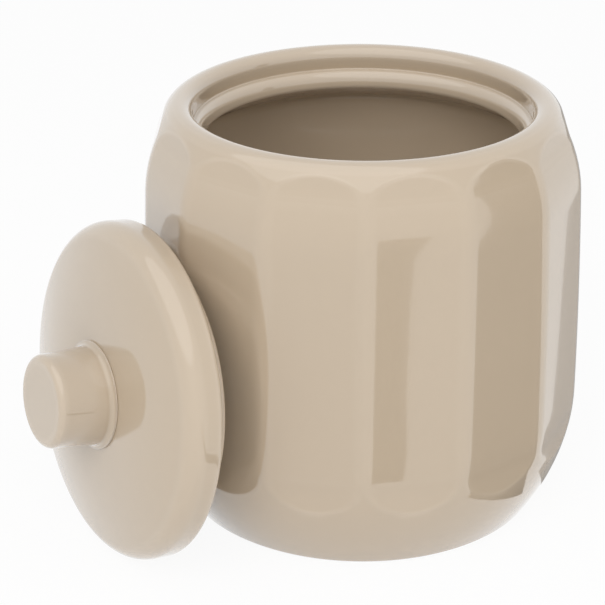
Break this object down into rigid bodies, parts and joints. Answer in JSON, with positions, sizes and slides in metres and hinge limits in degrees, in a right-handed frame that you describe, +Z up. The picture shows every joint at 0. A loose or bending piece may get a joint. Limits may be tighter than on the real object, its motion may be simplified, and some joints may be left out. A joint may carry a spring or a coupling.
{
  "type": "lidded ceramic jar",
  "caption": "Round glazed ceramic jar for cotton pads with softly panelled wall, inner ledge for the lid, and a round lid with a cylindrical knob leaning against it.",
  "frame": {"origin": "centre of the jar's flat base, on the surface it stands on", "axes": "+Z up along the jar's axis, -X towards the lid that leans on the jar, +Y completes the right-handed frame"},
  "size_m": [0.1379, 0.1046, 0.0985],
  "materials": {
    "jar_glaze": "glossy beige glaze",
    "lid_glaze": "glossy beige glaze"
  },
  "bodies": {
    "jar": {"jar_body": "jar_glaze"},
    "lid": {"lid_plate": "lid_glaze", "lid_locating_ring": "lid_glaze", "lid_knob": "lid_glaze"}
  },
  "joints": [
    {"name": "lid_lift", "type": "slide", "parent": "jar", "child": "lid", "axis": [0, 0, 1], "range_m": [0, 0.13]}
  ]
}
